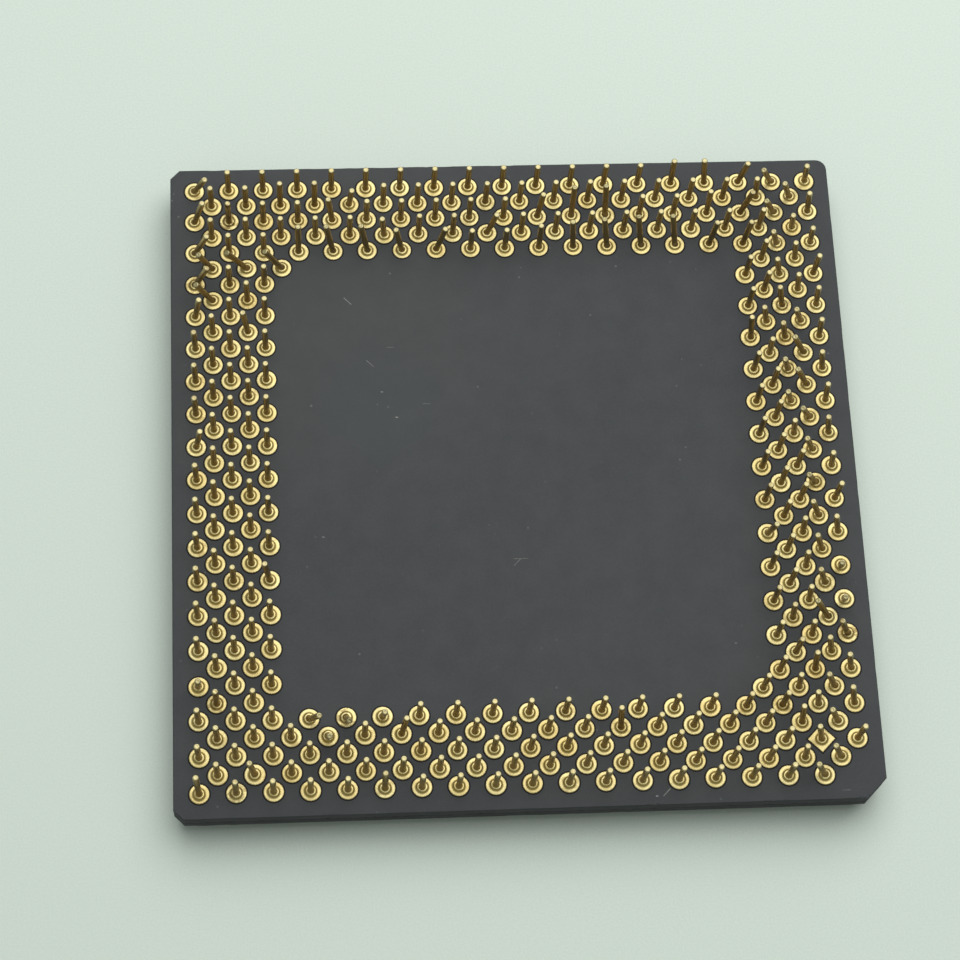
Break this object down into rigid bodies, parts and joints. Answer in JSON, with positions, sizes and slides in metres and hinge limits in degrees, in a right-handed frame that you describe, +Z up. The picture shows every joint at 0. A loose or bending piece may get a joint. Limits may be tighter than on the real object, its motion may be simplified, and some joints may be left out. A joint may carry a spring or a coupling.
{
  "type": "cpu processor",
  "caption": "Square ceramic pin grid processor with a stepped metal lid on one face and a staggered frame of gold-plated pins, some of them bent, on the other",
  "frame": {"origin": "centre of the outer face of the lid's raised plateau, the lowest point of the part as it stands on its lid", "axes": "+Z up out of the pin side; the index corner without a pin is at (+X, -Y); pin rows are lettered A at -Y to AN at +Y, pin columns numbered 1 at +X to 37 at -X"},
  "size_m": [0.0492, 0.0492, 0.0064],
  "materials": {
    "body_ceramic": "matte dark grey fired alumina, faintly mottled, with light chips along the rim",
    "lid_metal": "satin nickel plate on a stamped iron-nickel-cobalt alloy lid",
    "seal_adhesive": "matte black cured silicone adhesive",
    "thermal_paste": "pale filled thermal compound",
    "silicon": "polished opaque blue-grey silicon",
    "underfill_epoxy": "dark glossy epoxy",
    "bump_solder": "lead-tin solder, satin grey",
    "capacitor_body": "matte tan ceramic chip",
    "pin_gold": "pale gold plating over nickel on iron-nickel-cobalt alloy pins, tarnished brown in places"
  },
  "bodies": {
    "root": {"ceramic_substrate": "body_ceramic", "heat_spreader_lid": "lid_metal", "lid_seal": "seal_adhesive", "thermal_paste": "thermal_paste", "silicon_die": "silicon", "die_underfill": "underfill_epoxy", "solder_bump_layer": "bump_solder", "decoupling_capacitor_1": "capacitor_body", "decoupling_capacitor_2": "capacitor_body", "decoupling_capacitor_3": "capacitor_body", "decoupling_capacitor_4": "capacitor_body", "decoupling_capacitor_5": "capacitor_body", "decoupling_capacitor_6": "capacitor_body", "decoupling_capacitor_7": "capacitor_body", "decoupling_capacitor_8": "capacitor_body", "pin_row_A": "pin_gold", "pin_row_B": "pin_gold", "pin_row_C": "pin_gold", "pin_row_D": "pin_gold", "pin_row_E": "pin_gold", "pin_row_AJ": "pin_gold", "pin_row_AK": "pin_gold", "pin_row_AL": "pin_gold", "pin_row_AM": "pin_gold", "pin_row_AN": "pin_gold", "pin_column_1": "pin_gold", "pin_column_2": "pin_gold", "pin_column_3": "pin_gold", "pin_column_4": "pin_gold", "pin_column_5": "pin_gold", "pin_column_33": "pin_gold", "pin_column_34": "pin_gold", "pin_column_35": "pin_gold", "pin_column_36": "pin_gold", "pin_column_37": "pin_gold", "pin_AH32": "pin_gold", "pin_F6": "pin_gold"}
  },
  "joints": []
}
